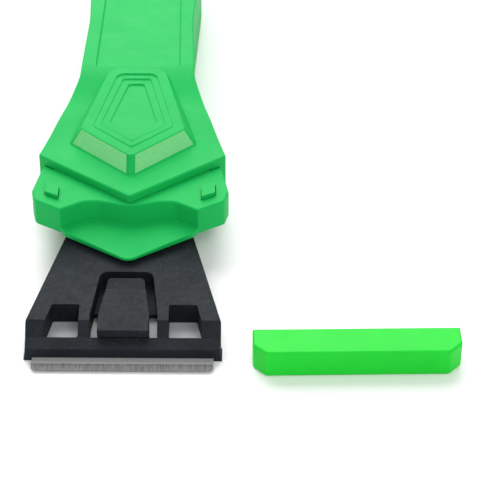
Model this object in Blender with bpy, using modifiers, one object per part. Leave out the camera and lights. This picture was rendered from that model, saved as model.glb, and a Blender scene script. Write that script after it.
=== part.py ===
"""A hand-held algae scraper: a two-shell handle with a stepped nose, a clip-type blade holder,
a replaceable blade and its push-on guard, lying beside the blade.

Everything is modelled in a tool frame whose y = 0 is the cutting edge; the empty tool_frame carries
it, so that the world origin lies on the handle's flat underside, below the middle of the head.
+X is to the tool's right, +Y runs from the cutting edge to the tail, and z = 0 is the resting plane.
"""

import math

import bmesh
import bpy
from mathutils import Matrix, Vector

MM = 0.001

# ---- driving dimensions ----------------------------------------------------------------------
ORIGIN_FROM_EDGE = 60.0 * MM    # cutting edge to the world origin
CLEARANCE = 0.3 * MM            # gap between neighbouring moulded pieces
FINE_CLEARANCE = 0.15 * MM      # gap around the blade and the screws

BLADE_WIDTH = 38.1 * MM
BLADE_DEPTH = 19.0 * MM
BLADE_THICKNESS = 0.25 * MM
BLADE_GRIND = 2.0 * MM          # depth of the ground bevel behind the cutting edge
BLADE_EDGE_THICKNESS = 0.05 * MM
BLADE_CORNER = 0.7 * MM
BLADE_EXPOSED = 3.6 * MM        # how far the blade stands out of the holder
BLADE_TILT = math.radians(2.5)  # the cutting edge dips towards the resting plane
EDGE_HEIGHT = 0.45 * MM         # underside of the cutting edge above the resting plane
BLADE_NOTCH_WIDTH = 3.6 * MM
BLADE_NOTCH_DEPTH = 6.0 * MM

HOLDER_TOP = 6.4 * MM           # height of the holder's flat top
HOLDER_SIDE_WALL = 1.4 * MM     # holder beside the blade
HOLDER_FLARE_Y = 9.0 * MM       # where the holder starts to narrow
HOLDER_NOSE_Y = 38.0 * MM       # where the holder enters the nose
HOLDER_NOSE_WIDTH = 28.2 * MM
BAR_FRONT_TOP = 3.3 * MM        # heights of the front bar's edges
BAR_BACK_TOP = 4.2 * MM
BAR_DEPTH = 2.8 * MM
BAR_STEP_RUN = 3.1 * MM         # the slope from the bar up to the holder's top
TANG_WIDTH = 20.0 * MM
TANG_START_Y = 50.0 * MM
TANG_END_Y = 76.0 * MM
TANG_UNDERSIDE = 2.1 * MM
WINDOW_INNER_X = 9.5 * MM
WINDOW_OUTER_X = 17.1 * MM
WINDOW_OUTER_SLANT = 1.7 * MM
WINDOW_LENGTH = 8.1 * MM
BASE_LENGTH = 26.0 * MM
BASE_KNEE = 1.0 * MM            # from the blade's back to where the base turns flat
BASE_RISE = 2.0 * MM            # run of the frame's underside from the base up to the tang
BASE_EAR = 0.25 * MM            # the base stands out this much beside the bar
BASE_PEG_RADIUS = 1.5 * MM
BASE_PEG_TOP = 1.9 * MM
BAY_FLOOR_Y = 15.5 * MM         # the floor of the lever bay starts here and covers the blade's back
BAY_FLOOR_BOTTOM = 1.75 * MM
BAY_FLOOR_TOP = 2.8 * MM

LEVER_FRONT_WIDTH = 10.8 * MM
LEVER_REAR_WIDTH = 7.8 * MM
LEVER_LENGTH = 17.0 * MM
LEVER_OVERHANG = 0.3 * MM       # the lever's nose reaches over the bar's back edge
LEVER_THICKNESS = 1.6 * MM
LEVER_FOOT_DEPTH = 2.7 * MM
LEVER_FOOT_BACKSET = 0.8 * MM   # room for the foot to swing behind the bar
LEVER_SIDE_GAP = 1.75 * MM
LEVER_REAR_GAP = 2.4 * MM
LEVER_STRAIGHT = 5.45 * MM      # length of its front part with parallel sides
LEVER_PIVOT_SETBACK = 11.2 * MM  # from the lever's nose to its pivot
LEVER_PIVOT_Z = 4.0 * MM
LEVER_BEAD_RADIUS = 1.0 * MM    # the bead under the lever, which turns in the holder's cradle
LEVER_BEAD_CLEARANCE = 0.08 * MM
LEVER_NECK = 1.0 * MM           # thickness of the neck between lever and bead
LEVER_BEAD_INSET = 0.6 * MM     # the bead's ends lie this far inside the lever's rear width
CRADLE_LENGTH = 3.0 * MM
CRADLE_RISE = 0.5 * MM          # the cradle reaches this far above the pivot and holds the bead in

RIVET_RADIUS = 0.8 * MM
RIVET_HEAD_RADIUS = 1.5 * MM
RIVET_HEAD_HEIGHT = 0.5 * MM
RIVET_SINK = 0.1 * MM           # the heads' faces above the resting plane
RIVET_SPREAD_X = 24.0 * MM
RIVET_ROWS_Y = (22.6 * MM, 27.0 * MM)

NOSE_UNDERSIDE = 7.2 * MM
NOSE_TOP = 13.8 * MM
NOSE_WALL = 1.7 * MM
LIP_TIP_Y = 26.9 * MM
LIP_SIDE_Y = 36.4 * MM
LIP_EDGE_TOP = 7.9 * MM
LIP_BACK_TOP = 9.0 * MM
NOTCH_WIDTH = 30.4 * MM
NOTCH_CORNER_Y = 38.0 * MM
NOTCH_BAY_Y = 41.1 * MM
NOTCH_BUMP_Y = 39.4 * MM
NOTCH_BAY_INNER_X = 6.8 * MM
NOTCH_BAY_OUTER_X = 9.5 * MM
NOSE_SHOULDER_Y = 41.4 * MM
NOSE_WIDE_Y = 44.9 * MM
NOSE_WIDTH = 44.0 * MM
NOSE_BACK_WIDTH = 40.2 * MM      # where the nose disappears into the handle
NOSE_STEP = 0.6 * MM            # length of the step from there to its width inside the handle
NOSE_END_Y = 57.5 * MM
HOOK_WIDTH = 3.0 * MM           # the nose cover's hooks, in X
HOOK_LENGTH = 3.8 * MM          # and in Y
HOOK_SKEW = math.radians(28)    # their ends follow the handle's slanted front
HOOK_HEIGHT = 1.0 * MM          # how far they stand above the nose
HOOK_X = 17.4 * MM
HOOK_Y = 44.4 * MM
COVER_THICKNESS = 1.2 * MM

HEAD_WIDTH = 42.6 * MM
HEAD_CORNER_Y = 55.6 * MM
HEAD_TIP_Y = 40.2 * MM
DECK_TOP = 15.8 * MM
DECK_RISE = 1.0 * MM            # the deck climbs this much before the ramp
DECK_RISE_START_Y = 58.0 * MM
DECK_RAMP_START_Y = 75.0 * MM   # from here it climbs to the grip's top
DECK_RAMP_END_Y = 88.0 * MM
NECK_Y = 83.4 * MM
NECK_WIDTH = 27.2 * MM
NECK_RADIUS = 14.0 * MM
WAIST_Y = 108.0 * MM
WAIST_WIDTH = 25.6 * MM
SWELL_Y = 138.0 * MM
SWELL_WIDTH = 28.4 * MM
TAIL_Y = 160.0 * MM
TAIL_CHAMFER = 6.5 * MM
GRIP_TOP = 19.6 * MM
WALL = 2.0 * MM
SEAM = 9.2 * MM                 # height at which the two shells meet
TOP_EDGE = 1.2 * MM             # rounding of the handle's long edges
UNDER_EDGE = 2.5 * MM
LOWER_FRONT_Y = 50.0 * MM        # the blunt front of the lower shell
LOWER_FRONT_HALF = 13.5 * MM
LOWER_CORNER_Y = 57.2 * MM
LOWER_CORNER_HALF = 20.7 * MM
PILLAR_RELIEF = 0.2 * MM         # the screw pillars end this far from the seam

BOSS_TOP = 19.9 * MM
BOSS_TIP_Y = 50.4 * MM
BOSS_WIDE_Y = 60.8 * MM
BOSS_WIDE_HALF = 11.7 * MM
BOSS_REAR_Y = 85.4 * MM
BOSS_REAR_HALF = 6.4 * MM
BOSS_SLOPE_RUN = 3.0 * MM       # outward run of the boss's flanks
BOSS_REAR_CORNER = 3.5 * MM
# each step down inside the boss: inset from the boss's edge and depth below its top
TERRACES = ((2.3 * MM, 0.5 * MM), (3.9 * MM, 0.9 * MM), (5.7 * MM, 1.3 * MM))

PANEL_HALF = 10.0 * MM
PANEL_START_Y = 86.6 * MM
PANEL_END_Y = 143.0 * MM
PANEL_DEPTH = 0.4 * MM

SCREW_RADIUS = 1.2 * MM
SCREW_HEAD_RADIUS = 2.4 * MM
SCREW_HEAD_HEIGHT = 1.6 * MM
SCREW_LENGTH = 12.0 * MM
SCREW_SINK = 1.0 * MM           # the heads lie this deep in the underside
SCREW_PLACES = (
    (15.0 * MM, 64.5 * MM),
    (-15.0 * MM, 64.5 * MM),
    (0.0, 108.0 * MM),
    (0.0, 138.0 * MM),
)
TANG_SCREW_Y = 68.0 * MM
TANG_SCREW_RADIUS = 1.5 * MM
TANG_NUT_SIZE = 5.5 * MM
TANG_NUT_HEIGHT = 2.2 * MM
TANG_NUT_Z = 9.6 * MM
TANG_HEAD_RADIUS = 2.9 * MM
TANG_HEAD_BOTTOM = 0.15 * MM
TANG_HEAD_TOP = 0.85 * MM
PILLAR_WALL = 1.6 * MM          # plastic around each screw

HANG_HOLE_Y = 150.5 * MM
HANG_HOLE_RADIUS = 3.6 * MM
HANG_TUBE_WALL = 1.4 * MM

GUARD_WALL = 0.75 * MM
GUARD_DEPTH = 7.8 * MM
GUARD_HEIGHT = 6.5 * MM
GUARD_SIDE_CLEARANCE = 0.2 * MM
GUARD_CHAMFER = 2.7 * MM
GUARD_EDGE = 0.5 * MM
GUARD_BESIDE = 6.8 * MM          # gap between the holder and the guard that lies beside it
GUARD_FRONT_Y = -0.4 * MM       # middle of the guard's front face, from the cutting edge
GUARD_TURN = math.radians(1.4)

# ---- sizes that follow from the driving dimensions -------------------------------------------
BAR_WIDTH = BLADE_WIDTH + 2 * (HOLDER_SIDE_WALL + FINE_CLEARANCE)
BAR_BACK_Y = BLADE_EXPOSED + BAR_DEPTH
PLATE_FRONT_Y = BAR_BACK_Y + BAR_STEP_RUN
LEVER_FRONT_Y = BAR_BACK_Y - LEVER_OVERHANG
PIVOT_Y = LEVER_FRONT_Y + LEVER_PIVOT_SETBACK
LEVER_REAR_Y = LEVER_FRONT_Y + LEVER_LENGTH
BASE_FRONT_Y = BLADE_EXPOSED + 0.2 * MM
BASE_END_Y = BASE_FRONT_Y + BASE_LENGTH
KNEE_Y = BLADE_DEPTH + BASE_KNEE
LOWER_TOP = SEAM - CLEARANCE / 2
UPPER_BOTTOM = SEAM + CLEARANCE / 2
GRIP_START_Y = NECK_Y + 4 * MM
GUARD_HALF = BAR_WIDTH / 2 + BASE_EAR + GUARD_SIDE_CLEARANCE + GUARD_WALL

SMALL_ARC = 4                   # segments in a small rounded corner
ROUND = 24                      # sides of a screw or a hole
FAR = 200.0 * MM                # well outside the object


# ---- materials --------------------------------------------------------------------------------
def material(name, colour, roughness, metallic=0.0):
    made = bpy.data.materials.new(name)
    made.use_nodes = True
    shader = made.node_tree.nodes["Principled BSDF"]
    shader.inputs["Base Color"].default_value = (*colour, 1.0)
    shader.inputs["Roughness"].default_value = roughness
    shader.inputs["Metallic"].default_value = metallic
    return made


def clear_scene():
    for obj in list(bpy.data.objects):
        bpy.data.objects.remove(obj)


def new_collection(name, hidden=False):
    made = bpy.data.collections.new(name)
    bpy.context.scene.collection.children.link(made)
    made.hide_render = hidden
    return made


# ---- outlines ---------------------------------------------------------------------------------
def rounded(corners, segments=SMALL_ARC):
    """Points of a closed outline whose corners (x, y, radius) become arcs."""
    points = []
    for i, (x, y, radius) in enumerate(corners):
        here = Vector((x, y))
        before = Vector(corners[i - 1][:2])
        after = Vector(corners[(i + 1) % len(corners)][:2])
        back, on = (before - here).normalized(), (after - here).normalized()
        opening = back.angle(on)
        if radius <= 0 or opening > math.radians(179):
            points.append(here)
            continue
        run = min(radius / math.tan(opening / 2), (before - here).length / 2, (after - here).length / 2)
        radius = run * math.tan(opening / 2)
        centre = here + (back + on).normalized() * (radius / math.sin(opening / 2))
        start, end = here + back * run - centre, here + on * run - centre
        sweep = start.angle_signed(end)
        for k in range(segments + 1):
            turn = Matrix.Rotation(-sweep * k / segments, 2)
            points.append(centre + turn @ start)
    return points


def mirrored(right_side):
    """A closed outline from its right half, listed from front to back, as (x, y, radius)."""
    left_side = [(-x, y, r) for x, y, r in reversed(right_side) if x > 0]
    return right_side + left_side


def mirrored_points(right_side):
    return right_side + [(-x, y) for x, y in reversed(right_side)]


def inset(points, distance):
    """The closed outline moved inwards by the distance, corner by corner."""
    flat = [Vector(p[:2]) for p in points]
    area = sum(a.cross(b) for a, b in zip(flat, flat[1:] + flat[:1]))
    inward = 1 if area > 0 else -1
    moved = []
    for i, here in enumerate(flat):
        back = (here - flat[i - 1]).normalized()
        on = (flat[(i + 1) % len(flat)] - here).normalized()
        normal_a = Vector((-back.y, back.x)) * inward
        normal_b = Vector((-on.y, on.x)) * inward
        mitre = (normal_a + normal_b).normalized()
        moved.append(here + mitre * (distance / max(mitre.dot(normal_a), 0.3)))
    return moved


# ---- solids -----------------------------------------------------------------------------------
def place(obj, collection, shade=None):
    for other in list(obj.users_collection):
        other.objects.unlink(obj)
    collection.objects.link(obj)
    obj.parent = FRAME
    if shade:
        obj.data.materials.append(shade)
    return obj


def extruded(name, outline, half):
    """A closed prism of the flat outline, 2 * half thick, as a welded mesh about z = 0."""
    curve = bpy.data.curves.new(name, "CURVE")
    curve.dimensions = "2D"
    curve.fill_mode = "BOTH"
    curve.extrude = half
    spline = curve.splines.new("POLY")
    spline.points.add(len(outline) - 1)
    for point, (x, y) in zip(spline.points, outline):
        point.co = (x, y, 0.0, 1.0)
    spline.use_cyclic_u = True
    guide = bpy.data.objects.new(name, curve)
    bpy.context.scene.collection.objects.link(guide)
    graph = bpy.context.evaluated_depsgraph_get()
    mesh = bpy.data.meshes.new_from_object(guide.evaluated_get(graph))
    bpy.data.objects.remove(guide)
    welded = bmesh.new()
    welded.from_mesh(mesh)
    bmesh.ops.remove_doubles(welded, verts=welded.verts, dist=1e-6)
    bmesh.ops.dissolve_limit(
        welded, angle_limit=math.radians(0.1), verts=welded.verts, edges=welded.edges
    )
    bmesh.ops.recalc_face_normals(welded, faces=welded.faces)
    welded.to_mesh(mesh)
    welded.free()
    return bpy.data.objects.new(name, mesh)


def prism(name, outline, bottom, top):
    """A prism over a plan outline, between two heights; either may be a function of (x, y)."""
    obj = extruded(name, outline, 1.0)
    for vertex in obj.data.vertices:
        level = top if vertex.co.z > 0 else bottom
        vertex.co.z = level(vertex.co.x, vertex.co.y) if callable(level) else level
    return obj


def profile(name, side_outline, half_width):
    """A prism along X of an outline given as (y, z)."""
    obj = extruded(name, side_outline, half_width)
    turn = Matrix(((0, 0, 1, 0), (1, 0, 0, 0), (0, 1, 0, 0), (0, 0, 0, 1)))
    obj.data.transform(turn)
    return obj


def box(name, low, high):
    low, high = Vector(low), Vector(high)
    mesh = bpy.data.meshes.new(name)
    made = bmesh.new()
    bmesh.ops.create_cube(made, size=1.0)
    for vertex in made.verts:
        vertex.co = Vector(a * (h - l) + (h + l) / 2 for a, l, h in zip(vertex.co, low, high))
    made.to_mesh(mesh)
    made.free()
    return bpy.data.objects.new(name, mesh)


def cylinder(name, x, y, radius, bottom, top, axis="Z", sides=ROUND):
    """A round bar; along X its ends are given by bottom and top, and (x, y) is its (y, z)."""
    mesh = bpy.data.meshes.new(name)
    made = bmesh.new()
    bmesh.ops.create_cone(
        made, cap_ends=True, segments=sides, radius1=radius, radius2=radius, depth=top - bottom
    )
    made.to_mesh(mesh)
    made.free()
    middle = (bottom + top) / 2
    if axis == "X":
        mesh.transform(Matrix.Rotation(math.pi / 2, 4, "Y"))
        mesh.transform(Matrix.Translation((middle, x, y)))
    else:
        mesh.transform(Matrix.Translation((x, y, middle)))
    return bpy.data.objects.new(name, mesh)


def combine(obj, other, operation):
    """Adds a Boolean; the other object goes to the hidden collection of cutters."""
    place(other, CUTTERS)
    other.hide_render = True
    other.display_type = "WIRE"
    modifier = obj.modifiers.new(other.name, "BOOLEAN")
    modifier.operation = operation
    modifier.solver = "EXACT"
    modifier.object = other
    return obj


def cut(obj, *others):
    for other in others:
        combine(obj, other, "DIFFERENCE")
    return obj


def join(obj, *others):
    for other in others:
        combine(obj, other, "UNION")
    return obj


def bevel(obj, width, segments=2, angle=40.0):
    modifier = obj.modifiers.new("edge_rounding", "BEVEL")
    modifier.width = width
    modifier.segments = segments
    modifier.limit_method = "ANGLE"
    modifier.angle_limit = math.radians(angle)
    modifier.use_clamp_overlap = True
    return obj


def turned(name, radii_and_heights, sides=ROUND):
    """A turned piece about Z from its outer side, listed top to bottom, with a Screw modifier."""
    mesh = bpy.data.meshes.new(name)
    points = [(radius, 0.0, height) for radius, height in radii_and_heights]
    mesh.from_pydata(points, [(i, i + 1) for i in range(len(points) - 1)], [])
    obj = bpy.data.objects.new(name, mesh)
    screw = obj.modifiers.new("turned", "SCREW")
    screw.steps = sides
    screw.render_steps = sides
    screw.use_merge_vertices = True
    screw.merge_threshold = 0.01 * MM
    return obj


def stepped_hole(name, x, y, shank_radius, head_radius, head_top, top, sides=ROUND):
    """A cutter for a screw or rivet put in from below: its head's sink and its shank's hole."""
    outer_side = [
        (0.0, top),
        (shank_radius, top),
        (shank_radius, head_top),
        (head_radius, head_top),
        (head_radius, -MM),
        (0.0, -MM),
    ]
    hole = turned(name, outer_side, sides)
    hole.location = (x, y, 0.0)
    return hole


# ---- the blade's plane ------------------------------------------------------------------------
def blade_plane(y):
    """Height of the blade's underside at a distance y behind the cutting edge."""
    return EDGE_HEIGHT + math.tan(BLADE_TILT) * y


def tilted(obj):
    """Moves a piece modelled flat at the cutting edge into the blade's tilted plane."""
    obj.location = (0.0, 0.0, EDGE_HEIGHT)
    obj.rotation_euler = (BLADE_TILT, 0.0, 0.0)
    return obj


def holder_half_width(y):
    """Half the holder's width between its flare and the nose."""
    share = (y - HOLDER_FLARE_Y) / (HOLDER_NOSE_Y - HOLDER_FLARE_Y)
    return BAR_WIDTH / 2 + share * (HOLDER_NOSE_WIDTH - BAR_WIDTH) / 2


# ---- blade ------------------------------------------------------------------------------------
def make_blade():
    """A flat plate ground to an edge from both faces, with a locating notch in its back."""
    middle = BLADE_THICKNESS / 2
    edge = BLADE_EDGE_THICKNESS / 2
    section = [
        (0.0, middle - edge),
        (BLADE_GRIND, 0.0),
        (BLADE_DEPTH, 0.0),
        (BLADE_DEPTH, BLADE_THICKNESS),
        (BLADE_GRIND, BLADE_THICKNESS),
        (0.0, middle + edge),
    ]
    blade = profile("blade", section, BLADE_WIDTH / 2)
    notch_start = BLADE_DEPTH - BLADE_NOTCH_DEPTH
    notch = rounded(
        mirrored(
            [
                (BLADE_NOTCH_WIDTH / 2, notch_start, BLADE_NOTCH_WIDTH / 2),
                (BLADE_NOTCH_WIDTH / 2, BLADE_DEPTH + 5 * MM, 0),
            ]
        )
    )
    cut(blade, tilted(prism("blade_notch_cutter", notch, -MM, 2 * MM)))
    for side in (-1, 1):
        corner = [
            (side * (BLADE_WIDTH / 2 - BLADE_CORNER), -MM),
            (side * (BLADE_WIDTH / 2 - BLADE_CORNER), 0.0),
            (side * BLADE_WIDTH / 2, BLADE_CORNER),
            (side * (BLADE_WIDTH / 2 + MM), BLADE_CORNER),
            (side * (BLADE_WIDTH / 2 + MM), -MM),
        ]
        cut(blade, tilted(prism(f"blade_corner_cutter_{side}", corner, -MM, 2 * MM)))
    return tilted(place(blade, OBJECT, STEEL))


def blade_channel(name):
    """The space around the blade, open to the front, in the blade's plane."""
    half = BLADE_WIDTH / 2 + FINE_CLEARANCE
    low = (-half, -5 * MM, -FINE_CLEARANCE)
    high = (half, BLADE_DEPTH + FINE_CLEARANCE, BLADE_THICKNESS + FINE_CLEARANCE)
    return tilted(box(name, low, high))


# ---- holder -----------------------------------------------------------------------------------
def lever_bay():
    """Plan outline of the opening around the release lever."""
    front = LEVER_FRONT_WIDTH / 2 + LEVER_SIDE_GAP
    rear = LEVER_REAR_WIDTH / 2 + LEVER_SIDE_GAP
    end = LEVER_REAR_Y + LEVER_REAR_GAP
    straight_to = LEVER_FRONT_Y + LEVER_STRAIGHT
    return rounded(
        mirrored([(front, BAR_BACK_Y, 0), (front, straight_to, 0), (rear, end, 2.0 * MM)])
    )


def window(side):
    """Plan outline of the window on one side of the lever."""
    corners = [
        (side * WINDOW_INNER_X, BAR_BACK_Y),
        (side * WINDOW_OUTER_X, BAR_BACK_Y),
        (side * (WINDOW_OUTER_X - WINDOW_OUTER_SLANT), BAR_BACK_Y + WINDOW_LENGTH),
        (side * WINDOW_INNER_X, BAR_BACK_Y + WINDOW_LENGTH),
    ]
    return rounded([(x, y, 0.4 * MM) for x, y in corners], 2)


def make_holder_frame():
    """The black upper jaw: front bar, windows, lever bay, and the tang inside the handle."""
    side = [
        (BLADE_EXPOSED, blade_plane(BLADE_EXPOSED)),
        (KNEE_Y, blade_plane(KNEE_Y)),
        (BASE_END_Y, blade_plane(KNEE_Y)),
        (BASE_END_Y + BASE_RISE, TANG_UNDERSIDE),
        (TANG_END_Y, TANG_UNDERSIDE),
        (TANG_END_Y, HOLDER_TOP),
        (PLATE_FRONT_Y, HOLDER_TOP),
        (BAR_BACK_Y, BAR_BACK_TOP),
        (BLADE_EXPOSED, BAR_FRONT_TOP),
    ]
    frame = profile("holder_frame", side, BAR_WIDTH)
    end_half = holder_half_width(TANG_START_Y - 4 * MM)
    plan = rounded(
        mirrored(
            [
                (BAR_WIDTH / 2 - 0.2 * MM, BLADE_EXPOSED - MM, 0),
                (BAR_WIDTH / 2, HOLDER_FLARE_Y, 1.5 * MM),
                (end_half, TANG_START_Y - 4 * MM, 1.0 * MM),
                (TANG_WIDTH / 2, TANG_START_Y, 1.0 * MM),
                (TANG_WIDTH / 2, TANG_END_Y + MM, 0),
            ]
        )
    )
    combine(frame, prism("holder_plan", plan, -MM, HOLDER_TOP + MM), "INTERSECT")
    cut(
        frame,
        blade_channel("blade_channel_cutter"),
        prism("lever_bay_cutter", lever_bay(), -MM, HOLDER_TOP + MM),
        prism("left_window_cutter", window(-1), -MM, HOLDER_TOP + MM),
        prism("right_window_cutter", window(1), -MM, HOLDER_TOP + MM),
        cylinder(
            "tang_screw_hole", 0, TANG_SCREW_Y, TANG_SCREW_RADIUS + CLEARANCE, -MM, HOLDER_TOP + MM
        ),
    )
    for i, (x, y) in enumerate(rivet_places()):
        radius, top = RIVET_RADIUS + FINE_CLEARANCE, rivet_top() + CLEARANCE
        cut(frame, cylinder(f"rivet_hole_{i}", x, y, radius, 0, top))
    add_bay_floor(frame)
    return place(frame, OBJECT, BLACK)


def add_bay_floor(frame):
    """The floor of the lever bay, with the cradle in which the lever's bead turns."""
    bay_half = LEVER_FRONT_WIDTH / 2 + LEVER_SIDE_GAP
    bay_end = LEVER_REAR_Y + LEVER_REAR_GAP
    half = bead_half()
    join(
        frame,
        box(
            "bay_floor",
            (-bay_half - MM / 2, BAY_FLOOR_Y, BAY_FLOOR_BOTTOM),
            (bay_half + MM / 2, bay_end + MM / 2, BAY_FLOOR_TOP),
        ),
        box(
            "lever_cradle",
            (-half, PIVOT_Y - CRADLE_LENGTH / 2, BAY_FLOOR_TOP - MM / 2),
            (half, PIVOT_Y + CRADLE_LENGTH / 2, LEVER_PIVOT_Z + CRADLE_RISE),
        ),
    )
    groove = LEVER_BEAD_RADIUS + LEVER_BEAD_CLEARANCE
    cut(
        frame,
        cylinder("cradle_groove", PIVOT_Y, LEVER_PIVOT_Z, groove, -half - MM, half + MM, axis="X"),
        cylinder("peg_pocket", 0, peg_y(), BASE_PEG_RADIUS + CLEARANCE, 0, BASE_PEG_TOP + CLEARANCE),
    )


def bead_half():
    """Half the length of the bead under the lever."""
    return LEVER_REAR_WIDTH / 2 - LEVER_BEAD_INSET


def peg_y():
    """The peg fills the round end of the blade's notch."""
    return BLADE_DEPTH - BLADE_NOTCH_DEPTH + BLADE_NOTCH_WIDTH / 2


def rivet_places():
    return [(side * RIVET_SPREAD_X / 2, y) for y in RIVET_ROWS_Y for side in (-1, 1)]


def rivet_top():
    return HOLDER_TOP - 1.6 * MM


def make_holder_base():
    """The black lower jaw that the blade lies on, with the peg that locates the blade."""
    flat_top = blade_plane(KNEE_Y) - FINE_CLEARANCE
    side = [
        (BASE_FRONT_Y, 0.0),
        (BASE_END_Y, 0.0),
        (BASE_END_Y, flat_top),
        (KNEE_Y, flat_top),
        (BASE_FRONT_Y, blade_plane(BASE_FRONT_Y) - FINE_CLEARANCE),
    ]
    base = profile("holder_base", side, BAR_WIDTH)
    ear = BAR_WIDTH / 2 + BASE_EAR
    plan = rounded(
        mirrored(
            [
                (ear, BASE_FRONT_Y - MM, 0),
                (ear, BAR_BACK_Y + 0.6 * MM, 0.5 * MM),
                (BAR_WIDTH / 2, BAR_BACK_Y + 1.2 * MM, 0),
                (BAR_WIDTH / 2, HOLDER_FLARE_Y, 1.5 * MM),
                (holder_half_width(BASE_END_Y), BASE_END_Y + MM, 0),
            ]
        )
    )
    combine(base, prism("base_plan", plan, -MM, HOLDER_TOP), "INTERSECT")
    join(base, cylinder("locating_peg", 0, peg_y(), BASE_PEG_RADIUS, flat_top / 2, BASE_PEG_TOP))
    hole = (RIVET_RADIUS + FINE_CLEARANCE, RIVET_HEAD_RADIUS + FINE_CLEARANCE)
    head_top = RIVET_HEAD_HEIGHT + FINE_CLEARANCE
    for i, (x, y) in enumerate(rivet_places()):
        cut(base, stepped_hole(f"base_rivet_hole_{i}", x, y, *hole, head_top, HOLDER_TOP, 16))
    return place(base, OBJECT, BLACK)


def make_base_rivets():
    top, head = rivet_top(), RIVET_HEAD_HEIGHT
    outer_side = [
        (0.0, top),
        (RIVET_RADIUS, top),
        (RIVET_RADIUS, head),
        (RIVET_HEAD_RADIUS, head),
        (RIVET_HEAD_RADIUS, RIVET_SINK),
        (0.0, RIVET_SINK),
    ]
    for i, (x, y) in enumerate(rivet_places(), 1):
        rivet = turned(f"base_rivet_{i}", outer_side, 16)
        rivet.location = (x, y, 0.0)
        place(rivet, OBJECT, STEEL)


def make_release_lever():
    """The rocker that clamps the blade; its rear end is pressed to lift its foot."""
    foot_front = BAR_BACK_Y + LEVER_FOOT_BACKSET
    foot_back = foot_front + LEVER_FOOT_DEPTH
    under = HOLDER_TOP - LEVER_THICKNESS
    nose_under = BAR_BACK_TOP + CLEARANCE
    blade_gap = BLADE_THICKNESS / math.cos(BLADE_TILT) + FINE_CLEARANCE
    dish = 0.25 * MM
    dish_y = LEVER_REAR_Y - 3.2 * MM
    side = [
        (LEVER_FRONT_Y, nose_under),
        (foot_front, nose_under),
        (foot_front, blade_plane(foot_front) + blade_gap),
        (foot_back, blade_plane(foot_back) + blade_gap),
        (foot_back + 0.8 * MM, under),
        (LEVER_REAR_Y, under),
        (LEVER_REAR_Y, HOLDER_TOP + dish),
        (dish_y, HOLDER_TOP - dish),
        (PIVOT_Y, HOLDER_TOP),
        (LEVER_FRONT_Y, HOLDER_TOP),
    ]
    lever = profile("release_lever", side, LEVER_FRONT_WIDTH)
    plan = rounded(
        mirrored(
            [
                (LEVER_FRONT_WIDTH / 2, LEVER_FRONT_Y - MM, 0),
                (LEVER_FRONT_WIDTH / 2, LEVER_FRONT_Y + LEVER_STRAIGHT, 0),
                (LEVER_REAR_WIDTH / 2, LEVER_REAR_Y, 0.9 * MM),
            ]
        )
    )
    combine(lever, prism("lever_plan", plan, -MM, HOLDER_TOP + 2 * MM), "INTERSECT")
    half = bead_half()
    join(
        lever,
        box(
            "lever_neck",
            (-half, PIVOT_Y - LEVER_NECK / 2, LEVER_PIVOT_Z),
            (half, PIVOT_Y + LEVER_NECK / 2, under + LEVER_THICKNESS / 2),
        ),
        cylinder("lever_bead", PIVOT_Y, LEVER_PIVOT_Z, LEVER_BEAD_RADIUS, -half, half, axis="X"),
    )
    return pivoted(place(lever, OBJECT, BLACK), (0.0, PIVOT_Y, LEVER_PIVOT_Z))


def pivoted(obj, point):
    """Puts the piece's origin, and those of the solids it is made with, on its joint's axis."""
    for piece in [obj] + [m.object for m in obj.modifiers if m.type == "BOOLEAN"]:
        piece.data.transform(Matrix.Translation(-Vector(point)))
        piece.location = point
    return obj


# ---- nose -------------------------------------------------------------------------------------
def nose_outline():
    """Plan of the nose: the V-shaped lip, the blunt shoulders and the part inside the handle."""
    return mirrored(
        [
            (0.0, LIP_TIP_Y, 3.0 * MM),
            (HOLDER_NOSE_WIDTH / 2, LIP_SIDE_Y, 0.8 * MM),
            (NOSE_WIDTH / 2 - 0.9 * MM, NOSE_SHOULDER_Y, 1.6 * MM),
            (NOSE_WIDTH / 2, NOSE_WIDE_Y, 1.6 * MM),
            (NOSE_BACK_WIDTH / 2, nose_step_y() - NOSE_STEP, 0),
            (nose_inner_half(), nose_step_y(), 0),
            (nose_inner_half(), NOSE_END_Y, 0),
        ]
    )


def nose_inner_half():
    """Half the width of the nose where it lies inside the handle's walls."""
    share = (NOSE_END_Y - HEAD_CORNER_Y) / (NECK_Y - HEAD_CORNER_Y)
    head_half = HEAD_WIDTH / 2 + share * (NECK_WIDTH - HEAD_WIDTH) / 2
    return min(head_half - WALL - CLEARANCE, NOSE_BACK_WIDTH / 2)


def nose_step_y():
    """Where the handle's side walls begin, on the slanted front of its deck."""
    wall_share = (WALL + CLEARANCE) / (HEAD_WIDTH / 2)
    return HEAD_TIP_Y + (1 - wall_share) * (HEAD_CORNER_Y - HEAD_TIP_Y) - CLEARANCE


def notch_outline():
    """Plan of the finger notch above the lip: two bays with a low bump between them."""
    return rounded(
        mirrored(
            [
                (0.0, LIP_TIP_Y - 10 * MM, 0),
                (NOTCH_WIDTH / 2 + 6 * MM, NOTCH_CORNER_Y - 10 * MM, 0),
                (NOTCH_WIDTH / 2, NOTCH_CORNER_Y, 0),
                (NOTCH_BAY_OUTER_X, NOTCH_BAY_Y, 1.8 * MM),
                (NOTCH_BAY_INNER_X, NOTCH_BAY_Y, 1.8 * MM),
                (0.0, NOTCH_BUMP_Y, 6.0 * MM),
            ]
        )
    )


def lip_height(x, y):
    share = (y - LIP_TIP_Y) / (NOTCH_BAY_Y - LIP_TIP_Y)
    return LIP_EDGE_TOP + share * (LIP_BACK_TOP - LIP_EDGE_TOP)


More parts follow.
